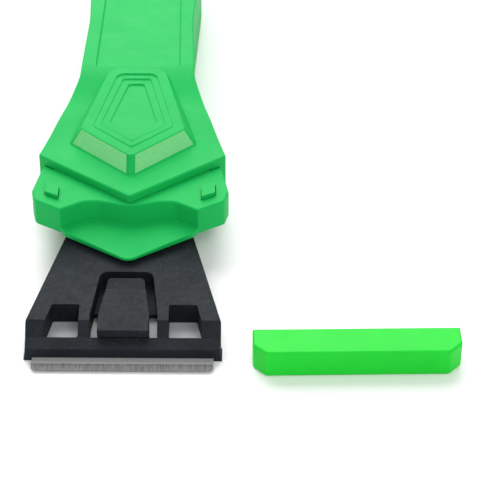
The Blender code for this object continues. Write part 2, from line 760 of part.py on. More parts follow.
def nose_hollow():
    """Plan of the space inside the nose, open towards the handle."""
    front_y = NOTCH_BAY_Y + NOSE_WALL
    return [
        (0.0, front_y, 0),
        (NOTCH_BAY_OUTER_X + 0.5 * MM, front_y, 1.0 * MM),
        (NOTCH_WIDTH / 2 + 0.6 * MM, NOTCH_CORNER_Y + 2.4 * MM, 1.0 * MM),
        (NOSE_WIDTH / 2 - NOSE_WALL - 0.4 * MM, NOSE_SHOULDER_Y + 1.9 * MM, 1.0 * MM),
        (NOSE_WIDTH / 2 - NOSE_WALL, NOSE_WIDE_Y, 1.0 * MM),
        (NOSE_BACK_WIDTH / 2 - NOSE_WALL, nose_step_y() - NOSE_WALL, 0),
        (nose_inner_half() - NOSE_WALL, nose_step_y(), 0),
        (nose_inner_half() - NOSE_WALL, NOSE_END_Y + 5 * MM, 0),
    ]


def hook_outline(side, grow=0.0):
    """Plan of one of the nose cover's hooks, its edges moved outwards by grow."""
    half_x, half_y = HOOK_WIDTH / 2 + grow, HOOK_LENGTH / 2 + grow
    lean = math.tan(HOOK_SKEW) * half_x
    return [
        (side * (HOOK_X - half_x), HOOK_Y - half_y - lean),
        (side * (HOOK_X + half_x), HOOK_Y - half_y + lean),
        (side * (HOOK_X + half_x), HOOK_Y + half_y + lean),
        (side * (HOOK_X - half_x), HOOK_Y + half_y - lean),
    ]


def make_nose_collar():
    """The green nose: a hollow block with the V lip over the holder and a finger notch."""
    nose = prism("nose_collar", rounded(nose_outline()), NOSE_UNDERSIDE, NOSE_TOP)
    cut(
        nose,
        prism("notch_cutter", notch_outline(), lip_height, NOSE_TOP + 5 * MM),
        prism(
            "nose_hollow_cutter",
            rounded(mirrored(nose_hollow())),
            NOSE_UNDERSIDE - MM,
            NOSE_TOP - NOSE_WALL,
        ),
        box(
            "nose_seat_cutter",
            (-FAR, LOWER_FRONT_Y - CLEARANCE, NOSE_UNDERSIDE - 2 * MM),
            (FAR, NOSE_END_Y + MM, UPPER_BOTTOM),
        ),
    )
    for side in (-1, 1):
        window = hook_outline(side, CLEARANCE)
        cut(nose, prism(f"hook_window_{side}", window, NOSE_TOP - 2 * NOSE_WALL, NOSE_TOP + MM))
    return place(nose, OBJECT, GREEN)


def make_nose_cover():
    """The plate that closes the nose from below; its two hooks come up through the nose's top."""
    outline = [corner for corner in nose_hollow() if corner[1] < LOWER_FRONT_Y]
    outline.append((NOSE_BACK_WIDTH / 2 - NOSE_WALL, LOWER_FRONT_Y, 0))
    plan = inset(rounded(mirrored(outline)), CLEARANCE)
    cover = prism("nose_cover", plan, NOSE_UNDERSIDE, NOSE_UNDERSIDE + COVER_THICKNESS)
    for side in (-1, 1):
        leg = hook_outline(side)
        join(cover, prism(f"hook_leg_{side}", leg, NOSE_UNDERSIDE + MM / 2, NOSE_TOP + HOOK_HEIGHT))
    return place(cover, OBJECT, GREEN)


# ---- handle -----------------------------------------------------------------------------------
def handle_sides(front):
    """Plan outline of the handle behind the given front corners, as (x, y, radius)."""
    return mirrored(
        front
        + [
            (WAIST_WIDTH / 2, WAIST_Y, 60 * MM),
            (SWELL_WIDTH / 2, SWELL_Y, 30 * MM),
            (SWELL_WIDTH / 2 - 1.6 * MM, TAIL_Y - TAIL_CHAMFER, 3 * MM),
            (SWELL_WIDTH / 2 - 1.6 * MM - TAIL_CHAMFER, TAIL_Y, 3 * MM),
        ]
    )


def head_sides(front):
    """Plan outline of the whole handle: the front corners, the neck and the grip."""
    return handle_sides(front + [(NECK_WIDTH / 2, NECK_Y, NECK_RADIUS)])


def grip_cavity(name, bottom, top, start_y):
    """The hollow of the grip, from the neck to a wall's thickness before the tail."""
    outline = inset(rounded(handle_sides([(NECK_WIDTH / 2, start_y, 0)])), WALL)
    return prism(name, outline, bottom, top)


def boss_outline(grow):
    """The five-sided boss, its edges moved outwards by grow."""
    corners = [
        (0.0, BOSS_TIP_Y),
        (BOSS_WIDE_HALF, BOSS_WIDE_Y),
        (BOSS_REAR_HALF, BOSS_REAR_Y),
        (-BOSS_REAR_HALF, BOSS_REAR_Y),
        (-BOSS_WIDE_HALF, BOSS_WIDE_Y),
    ]
    return [tuple(p) for p in inset(corners, -grow)]


def rounded_boss(grow, rear_radius, other_radius):
    radii = (other_radius, other_radius, rear_radius, rear_radius, other_radius)
    return rounded([(x, y, r) for (x, y), r in zip(boss_outline(grow), radii)])


def make_boss():
    """The boss as a block with flared flanks: its lower outline is wider than its top."""
    foot = DECK_TOP - 1.5 * MM
    flare = BOSS_SLOPE_RUN * (BOSS_TOP - foot) / (BOSS_TOP - DECK_TOP)
    top_outline = rounded_boss(0.0, BOSS_REAR_CORNER, 0.6 * MM)
    low_outline = rounded_boss(flare, BOSS_REAR_CORNER + flare, 0.6 * MM + flare / 4)
    return loft("boss", low_outline, foot, top_outline, BOSS_TOP)


def loft(name, low_outline, bottom, top_outline, top):
    """A closed body between two outlines with the same number of points."""
    mesh = bpy.data.meshes.new(name)
    made = bmesh.new()
    low = [made.verts.new((x, y, bottom)) for x, y in low_outline]
    high = [made.verts.new((x, y, top)) for x, y in top_outline]
    made.faces.new(low)
    made.faces.new(high)
    for i in range(len(low)):
        made.faces.new((low[i - 1], low[i], high[i], high[i - 1]))
    bmesh.ops.recalc_face_normals(made, faces=made.faces)
    made.to_mesh(mesh)
    made.free()
    return bpy.data.objects.new(name, mesh)


def ease(share):
    """A smooth step from 0 to 1."""
    share = min(max(share, 0.0), 1.0)
    return (1 - math.cos(math.pi * share)) / 2


def deck_height(y):
    """Height of the deck: flat over the head, a gentle rise, then a ramp up to the grip's top."""
    rise = (y - DECK_RISE_START_Y) / (DECK_RAMP_START_Y - DECK_RISE_START_Y)
    ramp = (y - DECK_RAMP_START_Y) / (DECK_RAMP_END_Y - DECK_RAMP_START_Y)
    climb = GRIP_TOP - DECK_TOP - DECK_RISE
    return DECK_TOP + DECK_RISE * min(max(rise, 0.0), 1.0) + climb * ease(ramp)


def deck_cutter():
    """The space above the deck."""
    steps = 8
    run = DECK_RAMP_END_Y - DECK_RAMP_START_Y
    stations = [0.0, DECK_RISE_START_Y] + [DECK_RAMP_START_Y + run * k / steps for k in range(steps + 1)]
    high = GRIP_TOP + 10 * MM
    # the last point rises a little further, so that the cutter leaves the grip's top cleanly
    end = (DECK_RAMP_END_Y + MM, GRIP_TOP + 0.2 * MM)
    side = [(0.0, high)] + [(y, deck_height(y)) for y in stations] + [end, (end[0], high)]
    return profile("deck_cutter", side, HEAD_WIDTH)


def round_edges(obj, height, width):
    """Rounds the outline's edges at one height, by bevel weights."""
    weights = obj.data.attributes.new("bevel_weight_edge", "FLOAT", "EDGE")
    for edge in obj.data.edges:
        ends = [obj.data.vertices[v].co.z for v in edge.vertices]
        weights.data[edge.index].value = 1.0 if all(abs(z - height) < MM / 10 for z in ends) else 0.0
    rounding = obj.modifiers.new("long_edge", "BEVEL")
    rounding.width = width
    rounding.segments = 2
    rounding.limit_method = "WEIGHT"


def make_upper_shell():
    """The green top of the handle: deck, boss with its terraces, grip and panel recess."""
    outline = rounded(
        head_sides([(0.0, HEAD_TIP_Y, 1.0 * MM), (HEAD_WIDTH / 2, HEAD_CORNER_Y, 0.8 * MM)])
    )
    shell = prism("handle_upper_shell", outline, UPPER_BOTTOM, GRIP_TOP)
    round_edges(shell, GRIP_TOP, TOP_EDGE)
    cut(shell, deck_cutter())
    join(shell, make_boss())
    cut(
        shell,
        prism("head_cavity_cutter", head_cavity(), UPPER_BOTTOM - MM, NOSE_TOP + CLEARANCE),
        prism(
            "boss_cavity_cutter",
            rounded_boss(-0.5 * MM, BOSS_REAR_CORNER, 0.6 * MM),
            UPPER_BOTTOM - MM,
            BOSS_TOP - TERRACES[-1][1] - WALL,
        ),
        grip_cavity("grip_cavity_cutter", UPPER_BOTTOM - MM, GRIP_TOP - WALL - PANEL_DEPTH, GRIP_START_Y),
    )
    for i, (step, depth) in enumerate(TERRACES):
        terrace = rounded_boss(-step, BOSS_REAR_CORNER / (i + 1.5), 0.5 * MM)
        cut(shell, prism(f"terrace_cutter_{i}", terrace, BOSS_TOP - depth, BOSS_TOP + MM))
    cut(shell, prism("panel_cutter", panel_outline(), GRIP_TOP - PANEL_DEPTH, GRIP_TOP + MM))
    for i, (x, y) in enumerate(SCREW_PLACES):
        top = (DECK_TOP if y < DECK_RAMP_START_Y else GRIP_TOP - PANEL_DEPTH) - WALL / 2
        radius = SCREW_RADIUS + PILLAR_WALL
        join(shell, cylinder(f"upper_pillar_{i}", x, y, radius, UPPER_BOTTOM + PILLAR_RELIEF, top))
        pilot = (x, y, SCREW_RADIUS + FINE_CLEARANCE, LOWER_TOP - 5 * MM, screw_tip() + CLEARANCE)
        cut(shell, cylinder(f"upper_pilot_{i}", *pilot))
    make_nut_seat(shell)
    tube = HANG_HOLE_RADIUS + HANG_TUBE_WALL + CLEARANCE
    cut(shell, cylinder("hang_hole_upper", 0, HANG_HOLE_Y, tube, 0, FAR))
    return place(shell, OBJECT, GREEN)


def make_nut_seat(shell):
    """The pillar over the tang, with a pocket for its nut that is open towards the tail."""
    half = TANG_NUT_SIZE / 2 + FINE_CLEARANCE
    pillar = half + PILLAR_WALL + MM
    top = TANG_NUT_Z + TANG_NUT_HEIGHT + FINE_CLEARANCE
    join(
        shell,
        cylinder("nut_pillar", 0, TANG_SCREW_Y, pillar, HOLDER_TOP + CLEARANCE, BOSS_TOP - 3 * MM),
    )
    cut(
        shell,
        box(
            "nut_pocket",
            (-half, TANG_SCREW_Y - half, TANG_NUT_Z - FINE_CLEARANCE),
            (half, TANG_SCREW_Y + pillar + MM, top),
        ),
        cylinder(
            "tang_pilot",
            0,
            TANG_SCREW_Y,
            TANG_SCREW_RADIUS + FINE_CLEARANCE,
            0,
            tang_screw_tip() + CLEARANCE,
        ),
    )


def head_cavity():
    """The hollow of the head, open to the front for the nose and closed by the side walls."""
    return mirrored_points(
        [
            (HEAD_WIDTH / 2 - WALL, 0.0),
            (HEAD_WIDTH / 2 - WALL, HEAD_CORNER_Y),
            (NECK_WIDTH / 2 - WALL, NECK_Y),
            (NECK_WIDTH / 2 - WALL, GRIP_START_Y + 2 * WALL),
        ]
    )


def panel_outline():
    """Plan of the long shallow recess in the grip."""
    end_half = PANEL_HALF - 1.0 * MM
    return rounded(
        mirrored([(PANEL_HALF, PANEL_START_Y, 0.8 * MM), (end_half, PANEL_END_Y, 1.6 * MM)])
    )


def make_lower_shell():
    """The green underside of the handle: a tray with a mouth in front for the holder's tang."""
    outline = rounded(
        head_sides(
            [
                (LOWER_FRONT_HALF, LOWER_FRONT_Y, 2 * MM),
                (LOWER_CORNER_HALF, LOWER_CORNER_Y, 2 * MM),
            ]
        )
    )
    shell = prism("handle_lower_shell", outline, 0.0, LOWER_TOP)
    round_edges(shell, 0.0, UNDER_EDGE)
    floor = TANG_UNDERSIDE - CLEARANCE
    cut(
        shell,
        prism("lower_head_cavity", lower_head_cavity(), floor, FAR),
        grip_cavity("lower_grip_cavity", floor, FAR, GRIP_START_Y),
    )
    head_radius = SCREW_HEAD_RADIUS + FINE_CLEARANCE
    head_top = SCREW_SINK + SCREW_HEAD_HEIGHT + FINE_CLEARANCE
    pillar_top = LOWER_TOP - PILLAR_RELIEF
    for i, (x, y) in enumerate(SCREW_PLACES):
        join(shell, cylinder(f"lower_pillar_{i}", x, y, head_radius + WALL / 3, MM, pillar_top))
        hole = (SCREW_RADIUS + FINE_CLEARANCE, head_radius, head_top, FAR)
        cut(shell, stepped_hole(f"lower_screw_hole_{i}", x, y, *hole))
    tang_hole = (
        TANG_SCREW_RADIUS + FINE_CLEARANCE,
        TANG_HEAD_RADIUS + FINE_CLEARANCE,
        TANG_HEAD_TOP + FINE_CLEARANCE,
        FAR,
    )
    cut(shell, stepped_hole("lower_tang_hole", 0.0, TANG_SCREW_Y, *tang_hole))
    tube = HANG_HOLE_RADIUS + HANG_TUBE_WALL
    join(shell, cylinder("hang_tube", 0, HANG_HOLE_Y, tube, MM, GRIP_TOP - CLEARANCE))
    cut(shell, cylinder("hang_hole", 0, HANG_HOLE_Y, HANG_HOLE_RADIUS, -MM, FAR))
    return place(shell, OBJECT, GREEN)


def lower_head_cavity():
    mouth = LOWER_FRONT_HALF - 0.8 * MM
    return mirrored_points(
        [
            (mouth, LOWER_FRONT_Y - 10 * MM),
            (mouth, LOWER_FRONT_Y + WALL),
            (LOWER_CORNER_HALF - 1.3 * WALL, LOWER_CORNER_Y + 0.8 * WALL),
            (NECK_WIDTH / 2 - WALL, NECK_Y),
            (NECK_WIDTH / 2 - WALL, GRIP_START_Y + 2 * WALL),
        ]
    )


# ---- fasteners --------------------------------------------------------------------------------
def screw_tip():
    return SCREW_SINK + SCREW_LENGTH


def tang_screw_tip():
    return TANG_NUT_Z + TANG_NUT_HEIGHT + 0.8 * MM


def make_shell_screws():
    """Four self-tapping screws with sunk heads, put in from below."""
    head_top = SCREW_SINK + SCREW_HEAD_HEIGHT
    outer_side = [
        (0.0, screw_tip()),
        (SCREW_RADIUS * 0.4, screw_tip() - 0.4 * MM),
        (SCREW_RADIUS, screw_tip() - 1.6 * MM),
        (SCREW_RADIUS, head_top),
        (SCREW_HEAD_RADIUS, head_top),
        (SCREW_HEAD_RADIUS, SCREW_SINK + 0.5 * MM),
        (SCREW_HEAD_RADIUS - 0.6 * MM, SCREW_SINK),
        (0.0, SCREW_SINK),
    ]
    for i, (x, y) in enumerate(SCREW_PLACES, 1):
        screw = turned(f"shell_screw_{i}", outer_side)
        screw.location = (x, y, 0.0)
        place(screw, OBJECT, STEEL)


def make_tang_screw():
    """The machine screw that holds the holder's tang between the shells."""
    shank, head = TANG_SCREW_RADIUS, TANG_HEAD_RADIUS
    screw = turned(
        "tang_screw",
        [
            (0.0, tang_screw_tip()),
            (shank - 0.3 * MM, tang_screw_tip()),
            (shank, tang_screw_tip() - 0.3 * MM),
            (shank, TANG_HEAD_TOP),
            (head, TANG_HEAD_TOP),
            (head, TANG_HEAD_BOTTOM + 0.2 * MM),
            (head - 0.3 * MM, TANG_HEAD_BOTTOM),
            (0.0, TANG_HEAD_BOTTOM),
        ],
    )
    screw.location = (0.0, TANG_SCREW_Y, 0.0)
    return place(screw, OBJECT, STEEL)


def make_tang_nut():
    half = TANG_NUT_SIZE / 2
    nut = box("tang_nut", (-half, -half, 0.0), (half, half, TANG_NUT_HEIGHT))
    hole = cylinder("nut_hole", 0, 0, TANG_SCREW_RADIUS + 0.1 * MM, -MM, TANG_NUT_HEIGHT + MM)
    cut(nut, hole)
    for piece in (nut, hole):
        piece.location = (0.0, TANG_SCREW_Y, TANG_NUT_Z)
    return place(nut, OBJECT, STEEL)


# ---- guard ------------------------------------------------------------------------------------
def make_blade_guard():
    """The push-on guard: a pocket open at its back that takes the blade and the bar."""
    outline = mirrored(
        [
            (GUARD_HALF - GUARD_CHAMFER, 0.0, 0.6 * MM),
            (GUARD_HALF, GUARD_CHAMFER, 0.6 * MM),
            (GUARD_HALF, GUARD_DEPTH, 0.3 * MM),
        ]
    )
    guard = prism("blade_guard", rounded(outline, 3), 0.0, GUARD_HEIGHT)
    bevel(guard, GUARD_EDGE, 2, 60.0)
    inner = GUARD_HALF - GUARD_WALL
    pocket = mirrored_points(
        [
            (inner - GUARD_CHAMFER + GUARD_WALL / 2, GUARD_WALL),
            (inner, GUARD_CHAMFER + GUARD_WALL / 2),
            (inner, GUARD_DEPTH + 5 * MM),
        ]
    )
    cut(guard, prism("guard_pocket", pocket, GUARD_WALL, GUARD_HEIGHT - GUARD_WALL))
    for piece in [guard] + [m.object for m in guard.modifiers if m.type == "BOOLEAN"]:
        piece.location = (BAR_WIDTH / 2 + GUARD_BESIDE + GUARD_HALF, GUARD_FRONT_Y, 0.0)
        piece.rotation_euler = (0.0, 0.0, GUARD_TURN)
    return place(guard, OBJECT, GUARD_GREEN)


clear_scene()
OBJECT = new_collection("algae_scraper")
CUTTERS = new_collection("cutters", hidden=True)
FRAME = bpy.data.objects.new("tool_frame", None)
FRAME.location = (0.0, -ORIGIN_FROM_EDGE, 0.0)
OBJECT.objects.link(FRAME)

GREEN = material("green_plastic", (0.05, 0.62, 0.17), 0.42)
GUARD_GREEN = material("guard_plastic", (0.03, 0.78, 0.09), 0.30)
BLACK = material("black_plastic", (0.025, 0.028, 0.032), 0.50)
STEEL = material("steel", (0.55, 0.54, 0.52), 0.35, 1.0)

make_blade()
make_holder_frame()
make_holder_base()
make_base_rivets()
make_release_lever()
make_nose_collar()
make_nose_cover()
make_upper_shell()
make_lower_shell()
make_shell_screws()
make_tang_screw()
make_tang_nut()
make_blade_guard()
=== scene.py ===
"""Looks of the algae scraper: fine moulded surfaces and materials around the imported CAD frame.

Lengths are metres. Places along the tool are measured from the blade's cutting edge: y = 0 there in
the outlines below, and each finished piece is moved to where the frame's blade has its edge.
"""

import math

import bmesh
import bpy
from mathutils import Matrix, Vector


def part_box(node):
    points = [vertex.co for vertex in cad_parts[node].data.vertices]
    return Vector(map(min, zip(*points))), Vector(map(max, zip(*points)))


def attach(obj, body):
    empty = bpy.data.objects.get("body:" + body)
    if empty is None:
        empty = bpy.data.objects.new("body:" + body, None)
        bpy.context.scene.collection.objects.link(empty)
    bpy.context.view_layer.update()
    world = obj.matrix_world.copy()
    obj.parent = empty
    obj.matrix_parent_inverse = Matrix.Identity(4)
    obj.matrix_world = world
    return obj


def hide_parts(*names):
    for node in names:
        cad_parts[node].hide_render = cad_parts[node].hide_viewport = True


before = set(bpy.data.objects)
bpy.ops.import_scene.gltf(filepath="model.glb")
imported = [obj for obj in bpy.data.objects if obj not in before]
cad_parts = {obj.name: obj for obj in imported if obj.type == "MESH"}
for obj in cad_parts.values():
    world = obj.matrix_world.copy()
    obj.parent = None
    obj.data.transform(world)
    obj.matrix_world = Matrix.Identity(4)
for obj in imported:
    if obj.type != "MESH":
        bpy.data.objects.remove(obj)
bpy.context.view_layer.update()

MM = 0.001

# ---- places taken from the frame --------------------------------------------------------------
TO_EDGE = Vector((0.0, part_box("blade")[0].y, 0.0))   # from the cutting edge to the frame's origin


def node_box(name):
    """A node's lowest and highest corner, with y measured from the cutting edge."""
    return [Vector(corner) - TO_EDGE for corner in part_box(name)]


NOSE_LOW, NOSE_HIGH = node_box("nose_collar")
UPPER_LOW, UPPER_HIGH = node_box("handle_upper_shell")
LOWER_LOW = node_box("handle_lower_shell")[0]
GUARD_LOW, GUARD_HIGH = node_box("blade_guard")

# ---- shapes of the moulded pieces -------------------------------------------------------------
WALL = 2.0 * MM
SHARP = 0.05 * MM                       # radius of a corner that looks sharp
SMOOTH_ANGLE = math.radians(35)         # edges that turn by less are shaded smooth
FLAT_FACE_WEIGHT = 90                   # how strongly large faces set the shading at their rims

LIP_TOP = 7.9 * MM                      # at the lip's tip; it climbs to LIP_BACK_TOP at the bays
LIP_BACK_TOP = 9.0 * MM
LIP_SIDE = (14.1 * MM, 36.4 * MM)       # where the V lip meets the nose's shoulders
LIP_EDGE = 0.25 * MM
NOTCH_CORNER = (15.2 * MM, 38.0 * MM)
NOTCH_BAY_Y = 41.1 * MM
NOTCH_BUMP_Y = 39.4 * MM
SHOULDER = (21.1 * MM, 41.4 * MM)
NOSE_WIDE_Y = 44.9 * MM
NOSE_GAP = 0.12 * MM                    # from the nose to the slanted front of the deck's walls
NOSE_BACK_HALF = 20.1 * MM
NOSE_INNER_HALF = 17.8 * MM
NOSE_EDGE = 0.5 * MM                    # rounding of the nose's top edge
NOSE_WALL = 1.7 * MM
HOOK_MIDDLE = (17.4 * MM, 44.4 * MM)
HOOK_SIZE = (3.0 * MM, 3.8 * MM)
HOOK_SKEW = math.radians(28)
HOOK_GAP = 0.12 * MM

DECK_TOP = 15.8 * MM
DECK_RISE = 1.0 * MM
DECK_RISE_START_Y = 58.0 * MM
DECK_RAMP_START_Y = 73.0 * MM
DECK_RAMP_END_Y = 88.0 * MM
DECK_EDGE = 0.5 * MM
COPLANAR = 1e-4                         # faces whose angle is under this (radians) are made one
ROW_LENGTH = 1.2 * MM                   # spacing of the rows that carry the deck's slope
DECK_TIP = (0.0, 40.2 * MM, 1.0 * MM)
DECK_CORNER = (21.3 * MM, 55.6 * MM, 0.9 * MM)
GRIP_TOP = 19.6 * MM
NECK = (13.6 * MM, 83.4 * MM, 14.0 * MM)
WAIST = (12.8 * MM, 108.0 * MM, 60.0 * MM)
SWELL = (14.2 * MM, 138.0 * MM, 30.0 * MM)
TAIL_HALF = 12.6 * MM
TAIL_CHAMFER = 6.5 * MM
TAIL_RADIUS = 3.0 * MM

BOSS_TOP = 19.9 * MM
BOSS_TIP_Y = 50.4 * MM
BOSS_WIDE = (11.7 * MM, 60.8 * MM)
BOSS_REAR = (6.4 * MM, 85.4 * MM)
BOSS_RUN = 3.0 * MM                     # outward run of the boss's flanks at the head
BOSS_TIP_RADIUS = 1.5 * MM
BOSS_WIDE_RADIUS = 0.5 * MM
BOSS_REAR_RADIUS = 3.5 * MM
BOSS_LOW_WIDE_RADIUS = 1.25 * MM        # the wide corners' radius at the foot of the flanks
BOSS_DIP = 0.45 * MM                    # the boss's top is this much lower at its tip than at its rear
BOSS_FRONT_SLANT = 0.75                 # an inset of the front sides over its run along the middle
# inset, rise at the front, drop at the rear, and rear corner radius of each plane inside the last
TERRACES = (
    (2.3 * MM, 0.25 * MM, 0.40 * MM, 2.2 * MM),
    (3.9 * MM, 0.15 * MM, 0.36 * MM, 1.0 * MM),
    (5.7 * MM, 0.00 * MM, 0.40 * MM, 1.2 * MM),
)
# section of the step between two planes: millimetres inwards, and share of the step
TERRACE_STEP = ((-0.16, 0.0), (-0.06, 0.08), (0.0, 0.3), (0.08, 0.75), (0.14, 0.94), (0.26, 1.0))
TERRACE_TIP_RADIUS = 0.6 * MM
TERRACE_WIDE_RADIUS = 0.5 * MM

PANEL_HALF = 10.0 * MM
PANEL_END_HALF = 9.0 * MM
PANEL_START_Y = 86.6 * MM
PANEL_END_Y = 143.0 * MM
PANEL_DEPTH = 0.4 * MM

LOWER_FRONT = (13.5 * MM, 50.0 * MM, 2.0 * MM)
LOWER_CORNER = (20.7 * MM, 57.2 * MM, 2.0 * MM)
LOWER_EDGE = 2.5 * MM                   # rounding of the handle's lower edges
TRAY_FLOOR = 1.8 * MM
SCREW_PLACES = ((15.0 * MM, 64.5 * MM), (-15.0 * MM, 64.5 * MM), (0.0, 108.0 * MM), (0.0, 138.0 * MM))
SCREW_HOLE = (2.55 * MM, 2.75 * MM)     # radius and depth of the hole for a sunk screw head
PILLAR_WALL = WALL / 3
SEAM_GAP = 0.3 * MM                     # between the two shells
SHANK_HOLE_RADIUS = 1.35 * MM
TANG_SCREW_Y = 68.0 * MM
TANG_SCREW_HOLE = (3.05 * MM, 1.0 * MM)
TANG_SHANK_HOLE_RADIUS = 1.65 * MM
HANG_HOLE_Y = 150.5 * MM
HANG_HOLE_RADIUS = 3.6 * MM
HANG_TUBE_WALL = 1.4 * MM

GUARD_HALF = 21.8 * MM
GUARD_DEPTH = 7.8 * MM
GUARD_HEIGHT = 6.5 * MM
GUARD_CHAMFER = 2.7 * MM
GUARD_EDGE = 0.55 * MM
GUARD_WALL = 0.75 * MM
GUARD_TURN = math.radians(1.4)

EXPOSED_BLADE = 3.6 * MM
BLADE_GRIND = 2.0 * MM
GRIND_BLUR = 0.06 * MM                  # half the width of the change from bevel to polished strip
GRAIN_DEPTH = 0.006 * MM                # of the moulded plastics' surface


# ---- outlines ---------------------------------------------------------------------------------
def mirrored(right_side):
    """A closed outline from its right half, front to back, as (x, y, radius) corners."""
    return right_side + [(-x, y, radius) for x, y, radius in reversed(right_side) if x > 0]


def shrunk(corners, distance):
    """The corners moved inwards by the distance, with their radii changed to match."""
    moved = []
    for i, (x, y, radius) in enumerate(corners):
        here = Vector((x, y))
        before = (here - Vector(corners[i - 1][:2])).normalized()
        after = (Vector(corners[(i + 1) % len(corners)][:2]) - here).normalized()
        side_a, side_b = Vector((-before.y, before.x)), Vector((-after.y, after.x))
        place = here + (side_a + side_b) / (1 + side_a.dot(side_b)) * distance
        bulges = before.x * after.y - before.y * after.x > 0
        radius += -distance if bulges else distance
        moved.append((place.x, place.y, max(radius, SHARP)))
    return moved


def ring(corners, segments=6, side_counts=None):
    """Points along the outline: segments + 1 for each corner, and each straight side between two
    corners divided into its count of equal lengths."""
    arcs = []
    for i, (x, y, radius) in enumerate(corners):
        here = Vector((x, y))
        back = Vector(corners[i - 1][:2]) - here
        on = Vector(corners[(i + 1) % len(corners)][:2]) - here
        half = back.angle(on) / 2
        run = min(radius / math.tan(half), back.length * 0.49, on.length * 0.49)
        centre = here + (back.normalized() + on.normalized()).normalized() * (run / math.cos(half))
        start = here + back.normalized() * run - centre
        sweep = start.angle_signed(here + on.normalized() * run - centre)
        turns = [Matrix.Rotation(-sweep * k / segments, 2) for k in range(segments + 1)]
        arcs.append([centre + turn @ start for turn in turns])
    points = []
    for i, arc in enumerate(arcs):
        points += arc
        count = side_counts[i] if side_counts else 1
        following = arcs[(i + 1) % len(arcs)][0]
        points += [arc[-1].lerp(following, k / count) for k in range(1, count)]
    return points


def side_counts(corners, spacing):
    """How many lengths each side is divided into; a side across the tool stays whole."""
    counts = []
    for i, (x, y, radius) in enumerate(corners):
        following = Vector(corners[(i + 1) % len(corners)][:2])
        along = abs(following.y - y) > MM
        counts.append(max(1, round((following - Vector((x, y))).length / spacing)) if along else 1)
    return counts


def top_rounding(height, radius, steps=4):
    """Profile of a rounded top edge, from the side inwards, as (inset, height)."""
    turns = [math.pi / 2 * k / steps for k in range(steps + 1)]
    return [(radius * (1 - math.cos(t)), height - radius * (1 - math.sin(t))) for t in turns]


def bottom_rounding(height, radius, steps=4):
    """Profile of a rounded bottom edge, from the underside outwards, as (inset, height)."""
    turns = [math.pi / 2 * k / steps for k in range(steps + 1)]
    return [(radius * (1 - math.sin(t)), height + radius * (1 - math.cos(t))) for t in turns]


# ---- bodies -----------------------------------------------------------------------------------
def new_object(name, made, *materials):
    """A mesh object from a bmesh; the bmesh is used up."""
    bmesh.ops.recalc_face_normals(made, faces=made.faces)
    mesh = bpy.data.meshes.new(name)
    made.to_mesh(mesh)
    made.free()
    for material in materials:
        mesh.materials.append(material)
    obj = bpy.data.objects.new(name, mesh)
    bpy.context.scene.collection.objects.link(obj)
    return obj


def bridge(made, low, high):
    """A band of faces between two rings with the same number of vertices."""
    return [made.faces.new((low[i - 1], low[i], high[i], high[i - 1])) for i in range(len(low))]


def ring_body(name, corners, profile, segments=6):
    """A body whose outline shrinks or grows with height: profile holds (inset, height) pairs, and
    a height may be a function of x and y."""
    made = bmesh.new()
    loops = []
    for inset, height in profile:
        points = ring(shrunk(corners, inset), segments)
        heights = [height(x, y) if callable(height) else height for x, y in points]
        loops.append([made.verts.new((p.x, p.y, z)) for p, z in zip(points, heights)])
    made.faces.new(loops[0])
    for low, high in zip(loops, loops[1:]):
        bridge(made, low, high)
    made.faces.new(loops[-1])
    return new_object(name, made)


def cylinder(name, x, y, radius, bottom, top, sides=48):
    made = bmesh.new()
    bmesh.ops.create_cone(
        made, cap_ends=True, segments=sides, radius1=radius, radius2=radius, depth=top - bottom
    )
    bmesh.ops.translate(made, verts=made.verts, vec=(x, y, (top + bottom) / 2))
    return new_object(name, made)


def combined(obj, operation, others):
    """Applies a Boolean with each of the other objects, which are then removed."""
    for other in others:
        modifier = obj.modifiers.new(other.name, "BOOLEAN")
        modifier.operation = operation
        modifier.solver = "EXACT"
        modifier.object = other
    bpy.context.view_layer.update()
    graph = bpy.context.evaluated_depsgraph_get()
    mesh = bpy.data.meshes.new_from_object(obj.evaluated_get(graph))
    obj.modifiers.clear()
    obj.data = mesh
    for other in others:
        bpy.data.objects.remove(other)
    return obj


def cut(obj, *others):
    return combined(obj, "DIFFERENCE", others)


def join(obj, *others):
    return combined(obj, "UNION", others)


def smoothed(obj):
    """Smooth shading that leaves flat faces flat and true edges sharp."""
    obj.data.shade_smooth()
    obj.data.set_sharp_from_angle(angle=SMOOTH_ANGLE)
    weights = obj.modifiers.new("flat_faces", "WEIGHTED_NORMAL")
    weights.keep_sharp = True
    weights.weight = FLAT_FACE_WEIGHT
    return obj


def finished(obj, body, node):
    """Puts a piece behind the frame's cutting edge and lets it stand for its CAD node."""
    obj.data.transform(Matrix.Translation(TO_EDGE))
    smoothed(obj)
    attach(obj, body)
    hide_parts(node)
    return obj


# ---- nose -------------------------------------------------------------------------------------
def deck_front(x):
    """Place of the deck's slanted front at a distance from the middle."""
    return DECK_TIP[1] + x / DECK_CORNER[0] * (DECK_CORNER[1] - DECK_TIP[1])


def lip_height(x, y):
    share = (y - NOSE_LOW.y) / (NOTCH_BAY_Y - NOSE_LOW.y)
    return LIP_TOP + share * (LIP_BACK_TOP - LIP_TOP)


def lip_profile():
    """The lip's section: a small rounding below, and one above that follows the sloping top."""
    def below_top(drop):
        return lambda x, y: lip_height(x, y) - drop

    steps = 3
    turns = [math.pi / 2 * k / steps for k in range(steps + 1)]
    rounding = [(LIP_EDGE * (1 - math.cos(t)), below_top(LIP_EDGE * (1 - math.sin(t)))) for t in turns]
    return bottom_rounding(NOSE_LOW.z, LIP_EDGE, steps) + rounding


